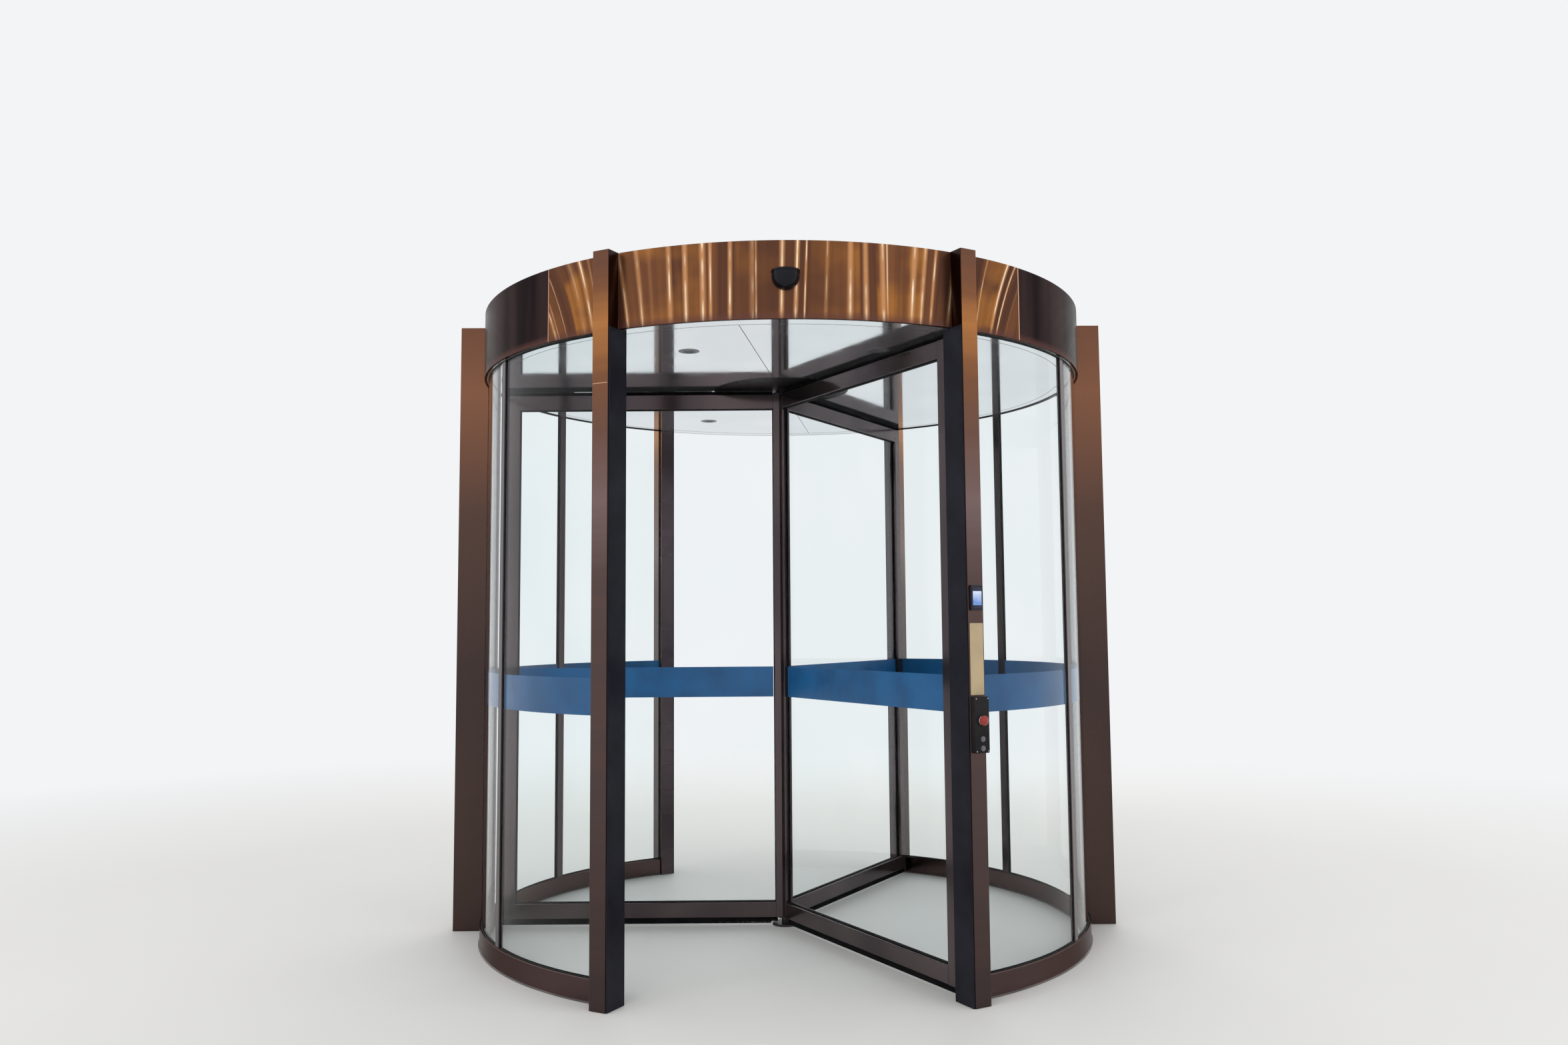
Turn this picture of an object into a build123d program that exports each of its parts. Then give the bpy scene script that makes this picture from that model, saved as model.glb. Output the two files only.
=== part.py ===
from build123d import *
import os
from math import asin, cos, degrees, radians, sin, sqrt

os.makedirs("parts", exist_ok=True)

# The origin is the drum's centre on the floor, with the lobby side towards -Y
drum_radius = 1500
clear_height = 2725
opening_half_angle = 28.76
full_turn = 360

# Fits
seat_gap = 0.3
running_clearance = 0.1
moving_clearance = 6

# Curved side walls
rail_depth = 36
rail_height = 94
rail_edge = 3
glass_thickness = 12
glass_bite = 12
glass_end_bite = 8
gasket_width = 1
lites_per_side = 4
mullion_width = 44
mullion_depth = 24
mullion_edge = 2

# Entrance posts
post_width = 80
post_return = 12
post_projection = 77
post_edge = 4
reveal_thickness = 6
reveal_edge = 2
reveal_setback = 3

# Wall jambs beside the drum
jamb_reach = 155
jamb_depth = 150
jamb_edge = 3

# Head ring and fascia
fascia_height = 323
fascia_overhang = 10
fascia_skin = 12
fascia_edge = 2
fascia_flange = 43
flange_thickness = 12
soffit_width = 74
ring_height = 50
ring_ledge = 20

# Ceiling and roof
ceiling_thickness = 12
hub_radius = 345
hub_drop = 1
hub_flange = 20
hub_flange_thickness = 4
hub_hole_clearance = 7
downlight_circle = 1027
downlight_half_angle = 24.4
downlight_rim = 47
downlight_can = 38
downlight_height = 35
downlight_recess = 6
downlight_lens = 32
downlight_rim_drop = 1
roof_thickness = 18
roof_setback = 6
beam_width = 60
beam_height = 80
beam_spacing = 260
beam_bearing = 40
drive_depth = 220
drive_height = 105
drive_drop = 20

# Rotor
wing_count = 3
wing_rest_angle = 59.2
wing_thickness = 46
wing_bottom = 38
wing_top_gap = 22
wing_rail_height = 75
wing_stile_width = 58
wing_glass_thickness = 10
wing_glass_bite = 10
wing_edge = 3
column_reach = 46
shaft_radius = 25
shaft_engagement = 70
brush_thickness = 8
brush_root = 6
brush_reach = 24
floor_brush_gap = 6
pivot_plate_radius = 65
pivot_plate_thickness = 10
pivot_plate_bevel = 3
pin_radius = 18
pin_engagement = 30

# Sensor domes on the fascia
dome_radius = 57
dome_wall = 15
dome_rim = 8
dome_rim_overhang = 2
dome_height = 196

# Controls on the right lobby post
box_width = 72
box_height = 223
box_thickness = 28
box_bottom = 989
box_corner = 6
label_width = 66
label_height = 287
label_thickness = 2
label_gap = 6
display_width = 60
display_height = 102
display_thickness = 12
display_gap = 51
screen_border = 8
screen_recess = 1
device_corner = 3
device_bevel = 2
button_height = 129
button_radius = 20
button_rim = 4
button_cap = 12
button_travel = 4
stem_radius = 11
stem_depth = 10
switch_heights = (56, 19)
switch_radius = 8
switch_length = 6
collar_radius = 11
collar_height = 3
keyway_width = 1.6
keyway_length = 10
keyway_depth = 2

# Radii that follow
rail_inner = drum_radius - rail_depth
glass_middle = drum_radius - rail_depth / 2
glass_inner = glass_middle - glass_thickness / 2
glass_outer = glass_middle + glass_thickness / 2
groove_inner = glass_inner - gasket_width
groove_outer = glass_outer + gasket_width
post_inner = rail_inner - post_return
post_outer = drum_radius + post_projection
fascia_radius = drum_radius + fascia_overhang
skin_inner = fascia_radius - fascia_skin
flange_inner = skin_inner - fascia_flange
ring_outer = skin_inner - seat_gap
ring_inner = ring_outer - soffit_width
ceiling_radius = ring_inner - seat_gap
brush_tip = post_inner - moving_clearance
stile_outer = brush_tip - brush_reach
stile_inner = stile_outer - wing_stile_width

# Heights that follow
fascia_top = clear_height + fascia_height
ring_top = clear_height + ring_height
ceiling_top = clear_height + ceiling_thickness
groove_floor = rail_height - glass_bite
groove_roof = clear_height + glass_bite
roof_bottom = fascia_top - roof_setback - roof_thickness
beam_top = ring_top + beam_height
wing_top = clear_height - wing_top_gap
shaft_top = ring_top + shaft_engagement
pin_top = wing_bottom + pin_engagement
brush_top = clear_height - downlight_rim_drop - moving_clearance
box_top = box_bottom + box_height
label_bottom = box_top + label_gap
display_bottom = label_bottom + label_height + display_gap

# Directions, in degrees anticlockwise from +X
post_angles = {
    "front_left": -90 - opening_half_angle,
    "front_right": -90 + opening_half_angle,
    "back_right": 90 - opening_half_angle,
    "back_left": 90 + opening_half_angle,
}
opening_side = {"front_left": 1, "front_right": -1, "back_right": 1, "back_left": -1}
side_span = 180 - 2 * opening_half_angle
side_start = {"left": 90 + opening_half_angle, "right": -90 + opening_half_angle}
lite_step = side_span / lites_per_side
wing_angles = [wing_rest_angle + full_turn * turn / wing_count for turn in range(wing_count)]
downlight_angles = [facing + turn * downlight_half_angle for facing in (-90, 90) for turn in (-1, 1)]


def level_plane(angle, height=0):
    """Level plane with its X pointing outwards at this angle."""
    outwards = (cos(radians(angle)), sin(radians(angle)), 0)
    return Plane(origin=(0, 0, height), x_dir=outwards, z_dir=(0, 0, 1))


def section_plane(angle):
    """Upright plane through the drum's axis, X outwards and Y up."""
    outwards = (cos(radians(angle)), sin(radians(angle)), 0)
    across = (sin(radians(angle)), -cos(radians(angle)), 0)
    return Plane(origin=(0, 0, 0), x_dir=outwards, z_dir=across)


def facing_plane(angle, radius, height):
    """Upright plane that looks outwards at this angle, radius and height, with Y up."""
    outwards = (cos(radians(angle)), sin(radians(angle)), 0)
    around = (-sin(radians(angle)), cos(radians(angle)), 0)
    centre = (radius * outwards[0], radius * outwards[1], height)
    return Plane(origin=centre, x_dir=around, z_dir=outwards)


def curved_bar(start, span, outline):
    """Solid made by turning an outline of (radius, height) points about the drum's axis."""
    with BuildPart() as bar:
        with BuildSketch(section_plane(start)):
            with BuildLine():
                Polyline(*outline, close=True)
            make_face()
        revolve(axis=Axis.Z, revolution_arc=span)
    return bar.part


def box_outline(inner, outer, low, high):
    return [(inner, low), (outer, low), (outer, high), (inner, high)]


def post_block(angle, low, high):
    """Plain block that a post takes up between two heights."""
    with BuildPart() as block:
        with BuildSketch(level_plane(angle, low)):
            with Locations(((post_inner + post_outer) / 2, 0)):
                Rectangle(post_outer - post_inner, post_width)
        extrude(amount=high - low)
    return block.part


post_blocks = [post_block(angle, 0, fascia_top) for angle in post_angles.values()]


# Base rails: curved bars with a glazing groove in their top
for side, start in side_start.items():
    outline = [
        (rail_inner, 0),
        (drum_radius, 0),
        (drum_radius, rail_height - rail_edge),
        (drum_radius - rail_edge, rail_height),
        (groove_outer, rail_height),
        (groove_outer, groove_floor),
        (groove_inner, groove_floor),
        (groove_inner, rail_height),
        (rail_inner + rail_edge, rail_height),
        (rail_inner, rail_height - rail_edge),
    ]
    with BuildPart() as base_rail:
        add(curved_bar(start, side_span, outline))
        add(post_blocks, mode=Mode.SUBTRACT)
    base_rail.part.label = f"base_rail_{side}"
    export_step(base_rail.part, f"parts/base_rail_{side}.step")


# Entrance posts: floor to fascia top, grooved on the wall side for the glass
for place, angle in post_angles.items():
    wall_side = -opening_side[place]
    with BuildPart() as post:
        with BuildSketch(level_plane(angle)):
            with Locations(((post_inner + post_outer) / 2, 0)):
                RectangleRounded(post_outer - post_inner, post_width, post_edge)
        extrude(amount=fascia_top)
        with BuildSketch(level_plane(angle, groove_floor)):
            with Locations((glass_middle, wall_side * (post_width - glass_bite) / 2)):
                Rectangle(groove_outer - groove_inner, glass_bite)
        extrude(amount=groove_roof - groove_floor, mode=Mode.SUBTRACT)
    post.part.label = f"post_{place}"
    export_step(post.part, f"parts/post_{place}.step")


# Black reveals on the posts' faces towards the openings
for row in ("front", "back"):
    with BuildPart() as reveals:
        for place, angle in post_angles.items():
            if place.startswith(row):
                with BuildSketch(level_plane(angle)):
                    offset_across = opening_side[place] * (post_width + reveal_thickness) / 2
                    with Locations(((post_inner + post_outer) / 2, offset_across)):
                        RectangleRounded(
                            post_outer - post_inner - 2 * reveal_setback, reveal_thickness, reveal_edge
                        )
                extrude(amount=clear_height)
    reveals.part.label = f"{row}_reveals"
    export_step(reveals.part, f"parts/{row}_reveals.step")


# Mullions: grooved both sides, standing on the base rail between the lites
for side, start in side_start.items():
    with BuildPart() as mullions:
        for step in range(1, lites_per_side):
            with BuildSketch(level_plane(start + step * lite_step, rail_height)):
                with Locations((glass_middle, 0)):
                    RectangleRounded(mullion_depth, mullion_width, mullion_edge)
                with Locations(
                    (glass_middle, (mullion_width - glass_end_bite) / 2),
                    (glass_middle, -(mullion_width - glass_end_bite) / 2),
                ):
                    Rectangle(groove_outer - groove_inner, glass_end_bite + gasket_width, mode=Mode.SUBTRACT)
            extrude(amount=clear_height - rail_height)
    mullions.part.label = f"{side}_mullions"
    export_step(mullions.part, f"parts/{side}_mullions.step")


# Curved glass: one lite between each pair of uprights
post_bite_angle = degrees(asin((post_width / 2 - glass_end_bite) / glass_middle))
mullion_bite_angle = degrees(asin((mullion_width / 2 - glass_end_bite + gasket_width) / glass_middle))
for side, start in side_start.items():
    with BuildPart() as lites:
        for step in range(lites_per_side):
            first = post_bite_angle if step == 0 else mullion_bite_angle
            last = post_bite_angle if step == lites_per_side - 1 else mullion_bite_angle
            with BuildSketch(section_plane(start + step * lite_step + first)):
                with Locations((glass_middle, (groove_floor + groove_roof - gasket_width) / 2)):
                    Rectangle(glass_thickness, groove_roof - groove_floor - gasket_width)
            revolve(axis=Axis.Z, revolution_arc=lite_step - first - last)
    lites.part.label = f"{side}_wall_glass"
    export_step(lites.part, f"parts/{side}_wall_glass.step")


# Wall jambs: where the building's front joins the drum on each side
jamb_inner = fascia_radius + seat_gap
jamb_outer = drum_radius + jamb_reach
mullion_face = glass_middle + mullion_depth / 2
for side, angle in (("left", 180), ("right", 0)):
    with BuildPart() as wall_jamb:
        with BuildSketch(level_plane(angle)):
            with Locations(((jamb_inner + jamb_outer) / 2, 0)):
                RectangleRounded(jamb_outer - jamb_inner, jamb_depth, jamb_edge)
        extrude(amount=fascia_top)
        with BuildSketch(level_plane(angle)):
            with Locations((drum_radius + seat_gap, 0)):
                Rectangle(fascia_overhang + jamb_edge, mullion_width, align=(Align.MIN, Align.CENTER))
        extrude(amount=rail_height)
        with BuildSketch(level_plane(angle, rail_height)):
            with Locations((mullion_face, 0)):
                Rectangle(
                    jamb_inner - mullion_face + jamb_edge,
                    mullion_width,
                    align=(Align.MIN, Align.CENTER),
                )
        extrude(amount=clear_height - rail_height)
    wall_jamb.part.label = f"wall_jamb_{side}"
    export_step(wall_jamb.part, f"parts/wall_jamb_{side}.step")


# Head ring: carries the fascia, the ceiling and the tops of the glass
ring_outline = [
    (ring_inner, clear_height),
    (ring_outer, clear_height),
    (ring_outer, ring_top),
    (ring_inner - ring_ledge, ring_top),
    (ring_inner - ring_ledge, ceiling_top),
    (ring_inner, ceiling_top),
]
head_grooves = [
    curved_bar(start, side_span, box_outline(groove_inner, groove_outer, clear_height, groove_roof))
    for start in side_start.values()
]
with BuildPart() as head_ring:
    add(curved_bar(0, full_turn, ring_outline))
    add(head_grooves, mode=Mode.SUBTRACT)
    add(post_blocks, mode=Mode.SUBTRACT)
head_ring.part.label = "head_ring"
export_step(head_ring.part, "parts/head_ring.step")


# Fascia: folded panels from post to post, with a flange on the ring and one under the roof
fascia_outline = [
    (skin_inner, clear_height),
    (fascia_radius - fascia_edge, clear_height),
    (fascia_radius, clear_height + fascia_edge),
    (fascia_radius, fascia_top - fascia_edge),
    (fascia_radius - fascia_edge, fascia_top),
    (skin_inner, fascia_top),
    (skin_inner, roof_bottom),
    (flange_inner, roof_bottom),
    (flange_inner, roof_bottom - flange_thickness),
    (skin_inner, roof_bottom - flange_thickness),
    (skin_inner, ring_top + flange_thickness),
    (flange_inner, ring_top + flange_thickness),
    (flange_inner, ring_top),
    (skin_inner, ring_top),
]
fascia_spans = {
    "front": (-90 - opening_half_angle, 2 * opening_half_angle),
    "right": (-90 + opening_half_angle, side_span),
    "back": (90 - opening_half_angle, 2 * opening_half_angle),
    "left": (90 + opening_half_angle, side_span),
}
for place, (start, span) in fascia_spans.items():
    with BuildPart() as fascia:
        add(curved_bar(start, span, fascia_outline))
        add(post_blocks, mode=Mode.SUBTRACT)
    fascia.part.label = f"fascia_{place}"
    export_step(fascia.part, f"parts/fascia_{place}.step")


# Ceiling: glossy disc inside the ring, open for the hub plate and the downlights
downlight_places = [Vector(downlight_circle, 0, 0).rotate(Axis.Z, angle) for angle in downlight_angles]
with BuildPart() as ceiling_panel:
    with BuildSketch(Plane.XY.offset(clear_height)):
        Circle(ceiling_radius)
        Circle(hub_radius + seat_gap, mode=Mode.SUBTRACT)
        with Locations(*downlight_places):
            Circle(downlight_can + seat_gap, mode=Mode.SUBTRACT)
    extrude(amount=ceiling_thickness)
ceiling_panel.part.label = "ceiling_panel"
export_step(ceiling_panel.part, "parts/ceiling_panel.step")


# Hub plate: dark disc about the rotor's shaft, held by a flange on the ceiling
with BuildPart() as ceiling_hub_plate:
    with BuildSketch(Plane.XY.offset(clear_height - hub_drop)):
        Circle(hub_radius)
    extrude(amount=ceiling_thickness + hub_drop)
    with BuildSketch(Plane.XY.offset(ceiling_top)):
        Circle(hub_radius + hub_flange)
    extrude(amount=hub_flange_thickness)
    with BuildSketch(Plane.XY.offset(clear_height - hub_drop)):
        Circle(shaft_radius + hub_hole_clearance)
    extrude(amount=ceiling_thickness + hub_drop + hub_flange_thickness, mode=Mode.SUBTRACT)
ceiling_hub_plate.part.label = "ceiling_hub_plate"
export_step(ceiling_hub_plate.part, "parts/ceiling_hub_plate.step")


# Downlights: a rim under the ceiling, a can above it and a recessed lens
can_outline = [
    (0, clear_height - downlight_rim_drop + downlight_recess),
    (downlight_lens, clear_height - downlight_rim_drop + downlight_recess),
    (downlight_lens, clear_height - downlight_rim_drop),
    (downlight_rim, clear_height - downlight_rim_drop),
    (downlight_rim, clear_height),
    (downlight_can, clear_height),
    (downlight_can, clear_height + downlight_height),
    (0, clear_height + downlight_height),
]
with BuildPart(mode=Mode.PRIVATE) as downlight:
    with BuildSketch(Plane.XZ):
        with BuildLine():
            Polyline(*can_outline, close=True)
        make_face()
    revolve(axis=Axis.Z)
with BuildPart() as downlights:
    with Locations(*downlight_places):
        add(downlight.part)
downlights.part.label = "downlights"
export_step(downlights.part, "parts/downlights.step")


# Roof cover: rests on the fascia's upper flange, notched round the posts
with BuildPart() as roof_cover:
    with BuildSketch(Plane.XY.offset(roof_bottom)):
        Circle(ring_outer)
    extrude(amount=roof_thickness)
    add(post_blocks, mode=Mode.SUBTRACT)
roof_cover.part.label = "roof_cover"
export_step(roof_cover.part, "parts/roof_cover.step")


# Roof beams: cross the ring and carry the drive unit between them
beam_reach = ring_inner - ring_ledge + beam_bearing
beam_half_length = sqrt(beam_reach**2 - ((beam_spacing + beam_width) / 2) ** 2)
with BuildPart() as roof_beams:
    with BuildSketch(Plane.XY.offset(ring_top)):
        with Locations((beam_spacing / 2, 0), (-beam_spacing / 2, 0)):
            Rectangle(beam_width, 2 * beam_half_length)
    extrude(amount=beam_height)
roof_beams.part.label = "roof_beams"
export_step(roof_beams.part, "parts/roof_beams.step")


# Drive unit: gearbox between the beams, bored for the shaft, with the motor case on top
with BuildPart() as drive_unit:
    with BuildSketch(Plane.XY.offset(ring_top - drive_drop)):
        Rectangle(beam_spacing - beam_width, drive_depth)
    extrude(amount=beam_height + drive_drop)
    with BuildSketch(Plane.XY.offset(beam_top)):
        RectangleRounded(beam_spacing + beam_width, drive_depth, post_edge)
    extrude(amount=drive_height)
    with BuildSketch(Plane.XY.offset(ring_top - drive_drop)):
        Circle(shaft_radius + running_clearance)
    extrude(amount=shaft_top - ring_top + drive_drop + seat_gap, mode=Mode.SUBTRACT)
drive_unit.part.label = "drive_unit"
export_step(drive_unit.part, "parts/drive_unit.step")


# Floor pivot: plate with the pin that the rotor turns on
with BuildPart() as floor_pivot:
    with BuildSketch():
        Circle(pivot_plate_radius)
    extrude(amount=pivot_plate_thickness)
    chamfer(floor_pivot.edges().group_by(Axis.Z)[-1], length=pivot_plate_bevel)
    with BuildSketch(Plane.XY.offset(pivot_plate_thickness)):
        Circle(pin_radius)
    extrude(amount=pin_top - pivot_plate_thickness)
floor_pivot.part.label = "floor_pivot"
export_step(floor_pivot.part, "parts/floor_pivot.step")


# Sensor domes: bowls hung from a round rim, one against the fascia on each side
rim_top = clear_height + dome_height
rim_low = rim_top - dome_rim
for place, facing in (("front", -1), ("back", 1)):
    with BuildPart() as sensor_dome:
        with BuildSketch(Plane.XZ.offset(-facing * fascia_radius)):
            with BuildLine():
                rim = Polyline(
                    (0, rim_top),
                    (dome_radius + dome_rim_overhang, rim_top),
                    (dome_radius + dome_rim_overhang, rim_low),
                    (dome_radius, rim_low),
                    (dome_radius, rim_low - dome_wall),
                )
                bowl = CenterArc((0, rim_low - dome_wall), dome_radius, 0, -90)
                Line(bowl @ 1, rim @ 0)
            make_face()
        revolve(axis=Axis((0, facing * fascia_radius, 0), (0, 0, facing)), revolution_arc=180)
    sensor_dome.part.label = f"sensor_dome_{place}"
    export_step(sensor_dome.part, f"parts/sensor_dome_{place}.step")


# Display, label plate and control box, one above the other on the right lobby post
control_angle = post_angles["front_right"]
control_axis = Axis((0, 0, 0), facing_plane(control_angle, 0, 0).z_dir)
display_front = post_outer + display_thickness
display_middle = display_bottom + display_height / 2
with BuildPart() as display_panel:
    with BuildSketch(facing_plane(control_angle, post_outer, display_middle)):
        RectangleRounded(display_width, display_height, device_corner)
    extrude(amount=display_thickness)
    chamfer(display_panel.faces().sort_by(control_axis)[-1].edges(), length=device_bevel)
    with BuildSketch(facing_plane(control_angle, display_front, display_middle)):
        Rectangle(display_width - 2 * screen_border, display_height - 2 * screen_border)
    extrude(amount=-screen_recess, mode=Mode.SUBTRACT)
display_panel.part.label = "display_panel"
export_step(display_panel.part, "parts/display_panel.step")

label_middle = label_bottom + label_height / 2
with BuildPart() as label_plate:
    with BuildSketch(facing_plane(control_angle, post_outer, label_middle)):
        RectangleRounded(label_width, label_height, device_corner)
    extrude(amount=label_thickness)
label_plate.part.label = "label_plate"
export_step(label_plate.part, "parts/label_plate.step")

box_front = post_outer + box_thickness
button_middle = box_bottom + button_height
stem_bore = facing_plane(control_angle, box_front - stem_depth - button_travel - seat_gap, button_middle)
with BuildPart() as control_box:
    with BuildSketch(facing_plane(control_angle, post_outer, box_bottom + box_height / 2)):
        RectangleRounded(box_width, box_height, box_corner)
    extrude(amount=box_thickness)
    chamfer(control_box.faces().sort_by(control_axis)[-1].edges(), length=device_bevel)
    with BuildSketch(stem_bore):
        Circle(stem_radius + running_clearance)
    extrude(amount=stem_depth + button_travel + seat_gap, mode=Mode.SUBTRACT)
control_box.part.label = "control_box"
export_step(control_box.part, "parts/control_box.step")

# Key switches: a barrel in a collar, with its keyway upright
with BuildPart() as key_switches:
    for height in switch_heights:
        with BuildSketch(facing_plane(control_angle, box_front, box_bottom + height)):
            Circle(collar_radius)
        extrude(amount=collar_height)
        with BuildSketch(facing_plane(control_angle, box_front + collar_height, box_bottom + height)):
            Circle(switch_radius)
        extrude(amount=switch_length - collar_height)
        with BuildSketch(facing_plane(control_angle, box_front + switch_length, box_bottom + height)):
            Rectangle(keyway_width, keyway_length)
        extrude(amount=-keyway_depth, mode=Mode.SUBTRACT)
key_switches.part.label = "key_switches"
export_step(key_switches.part, "parts/key_switches.step")

# Emergency button: domed mushroom head on a stem that slides in the control box
cap_gap = button_travel + moving_clearance
cap_rise = button_cap - button_rim
cap_curve = (button_radius**2 + cap_rise**2) / (2 * cap_rise)
button_base = facing_plane(control_angle, box_front, button_middle)
with BuildPart() as emergency_button:
    with BuildSketch(Plane(origin=button_base.origin, x_dir=button_base.z_dir, z_dir=button_base.x_dir)):
        with BuildLine():
            Polyline(
                (cap_gap + button_cap, 0),
                (-stem_depth, 0),
                (-stem_depth, stem_radius),
                (cap_gap, stem_radius),
                (cap_gap, button_radius),
                (cap_gap + button_rim, button_radius),
            )
            dome_angle = degrees(asin(button_radius / cap_curve))
            CenterArc((cap_gap + button_cap - cap_curve, 0), cap_curve, 0, dome_angle)
        make_face()
    revolve(axis=Axis(button_base.origin, button_base.z_dir))
emergency_button.part.label = "emergency_button"
export_step(emergency_button.part, "parts/emergency_button.step")


# Centre column: three-armed bar, grooved for the wings' glass, with the shaft on top
with BuildPart() as centre_column:
    with BuildSketch(Plane.XY.offset(wing_bottom)):
        with PolarLocations(0, wing_count, start_angle=wing_rest_angle):
            RectangleRounded(column_reach, wing_thickness, wing_edge, align=(Align.MIN, Align.CENTER))
    extrude(amount=wing_top - wing_bottom)
    with BuildSketch(Plane.XY.offset(wing_bottom)):
        with PolarLocations(column_reach - wing_glass_bite / 2, wing_count, start_angle=wing_rest_angle):
            Rectangle(wing_glass_bite, wing_glass_thickness + 2 * gasket_width)
    extrude(amount=wing_top - wing_bottom, mode=Mode.SUBTRACT)
    with BuildSketch(Plane.XY.offset(wing_bottom)):
        Circle(pin_radius + running_clearance)
    extrude(amount=pin_engagement + seat_gap, mode=Mode.SUBTRACT)
    with BuildSketch(Plane.XY.offset(wing_top)):
        Circle(shaft_radius)
    extrude(amount=shaft_top - wing_top)
centre_column.part.label = "centre_column"
export_step(centre_column.part, "parts/centre_column.step")


# Wings: outer stile, top and bottom rails, glass and brush seals
glass_slot = wing_glass_thickness + 2 * gasket_width
rail_length = stile_inner - column_reach
glass_bottom = wing_bottom + wing_rail_height - wing_glass_bite
glass_top = wing_top - wing_rail_height + wing_glass_bite
brush_start = pivot_plate_radius + moving_clearance
brush_strips = [
    (brush_start, brush_tip, floor_brush_gap, wing_bottom),
    (brush_start, stile_inner, wing_bottom, wing_bottom + brush_root),
    (stile_outer - brush_root, brush_tip, wing_bottom, wing_top),
    (column_reach, stile_inner, wing_top - brush_root, wing_top),
    (column_reach, brush_tip, wing_top, brush_top),
]
for number, angle in enumerate(wing_angles, start=1):
    with BuildPart() as stile:
        with BuildSketch(level_plane(angle, wing_bottom)):
            with Locations(((stile_inner + stile_outer) / 2, 0)):
                RectangleRounded(wing_stile_width, wing_thickness, wing_edge)
            with Locations((stile_inner + wing_glass_bite / 2, 0)):
                Rectangle(wing_glass_bite, glass_slot, mode=Mode.SUBTRACT)
            with Locations((stile_outer - brush_root / 2, 0)):
                Rectangle(brush_root, brush_thickness, mode=Mode.SUBTRACT)
        extrude(amount=wing_top - wing_bottom)
    stile.part.label = f"wing_{number}_stile"
    export_step(stile.part, f"parts/wing_{number}_stile.step")

    with BuildPart() as rails:
        with BuildSketch(facing_plane(angle, column_reach, wing_bottom)):
            with Locations((0, wing_rail_height / 2)):
                RectangleRounded(wing_thickness, wing_rail_height, wing_edge)
            with Locations((0, wing_rail_height - wing_glass_bite / 2)):
                Rectangle(glass_slot, wing_glass_bite, mode=Mode.SUBTRACT)
            with Locations((0, brush_root / 2)):
                Rectangle(brush_thickness, brush_root, mode=Mode.SUBTRACT)
        extrude(amount=rail_length)
        with BuildSketch(facing_plane(angle, column_reach, wing_top - wing_rail_height)):
            with Locations((0, wing_rail_height / 2)):
                RectangleRounded(wing_thickness, wing_rail_height, wing_edge)
            with Locations((0, wing_glass_bite / 2)):
                Rectangle(glass_slot, wing_glass_bite, mode=Mode.SUBTRACT)
            with Locations((0, wing_rail_height - brush_root / 2)):
                Rectangle(brush_thickness, brush_root, mode=Mode.SUBTRACT)
        extrude(amount=rail_length)
    rails.part.label = f"wing_{number}_rails"
    export_step(rails.part, f"parts/wing_{number}_rails.step")

    with BuildPart() as wing_glass:
        with BuildSketch(level_plane(angle, glass_bottom)):
            with Locations((column_reach - wing_glass_bite + gasket_width, 0)):
                Rectangle(
                    rail_length + 2 * (wing_glass_bite - gasket_width),
                    wing_glass_thickness,
                    align=(Align.MIN, Align.CENTER),
                )
        extrude(amount=glass_top - glass_bottom - gasket_width)
    wing_glass.part.label = f"wing_{number}_glass"
    export_step(wing_glass.part, f"parts/wing_{number}_glass.step")

    with BuildPart() as seals:
        for start, end, low, high in brush_strips:
            with BuildSketch(level_plane(angle, low)):
                with Locations((start, 0)):
                    Rectangle(end - start, brush_thickness, align=(Align.MIN, Align.CENTER))
            extrude(amount=high - low)
    seals.part.label = f"wing_{number}_seals"
    export_step(seals.part, f"parts/wing_{number}_seals.step")
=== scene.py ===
import bpy
from math import asin, atan2, cos, hypot, pi, radians, sin, tau
from mathutils import Matrix, Vector


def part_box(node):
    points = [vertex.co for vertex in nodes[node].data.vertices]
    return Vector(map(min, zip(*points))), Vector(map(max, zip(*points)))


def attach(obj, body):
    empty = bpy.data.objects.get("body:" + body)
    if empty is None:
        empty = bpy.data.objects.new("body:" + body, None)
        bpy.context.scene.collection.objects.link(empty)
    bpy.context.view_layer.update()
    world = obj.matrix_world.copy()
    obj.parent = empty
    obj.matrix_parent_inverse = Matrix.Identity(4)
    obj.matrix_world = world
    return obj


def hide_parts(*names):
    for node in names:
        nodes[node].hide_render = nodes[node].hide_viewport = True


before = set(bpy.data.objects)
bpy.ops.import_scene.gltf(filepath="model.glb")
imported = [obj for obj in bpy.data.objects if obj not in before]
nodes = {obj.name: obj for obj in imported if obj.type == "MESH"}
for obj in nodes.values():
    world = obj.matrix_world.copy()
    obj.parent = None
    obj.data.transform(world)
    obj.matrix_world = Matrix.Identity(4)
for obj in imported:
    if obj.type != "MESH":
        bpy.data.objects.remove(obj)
scene = bpy.context.scene
scene.view_settings.view_transform = "Standard"
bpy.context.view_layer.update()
print("frame is in:", len(nodes), "nodes")


# Sizes in metres. Heights, radii and directions are read from the frame where its boxes give them
def directionOf(name):
    low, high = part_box(name)
    return atan2(low.y + high.y, low.x + high.x)


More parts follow.
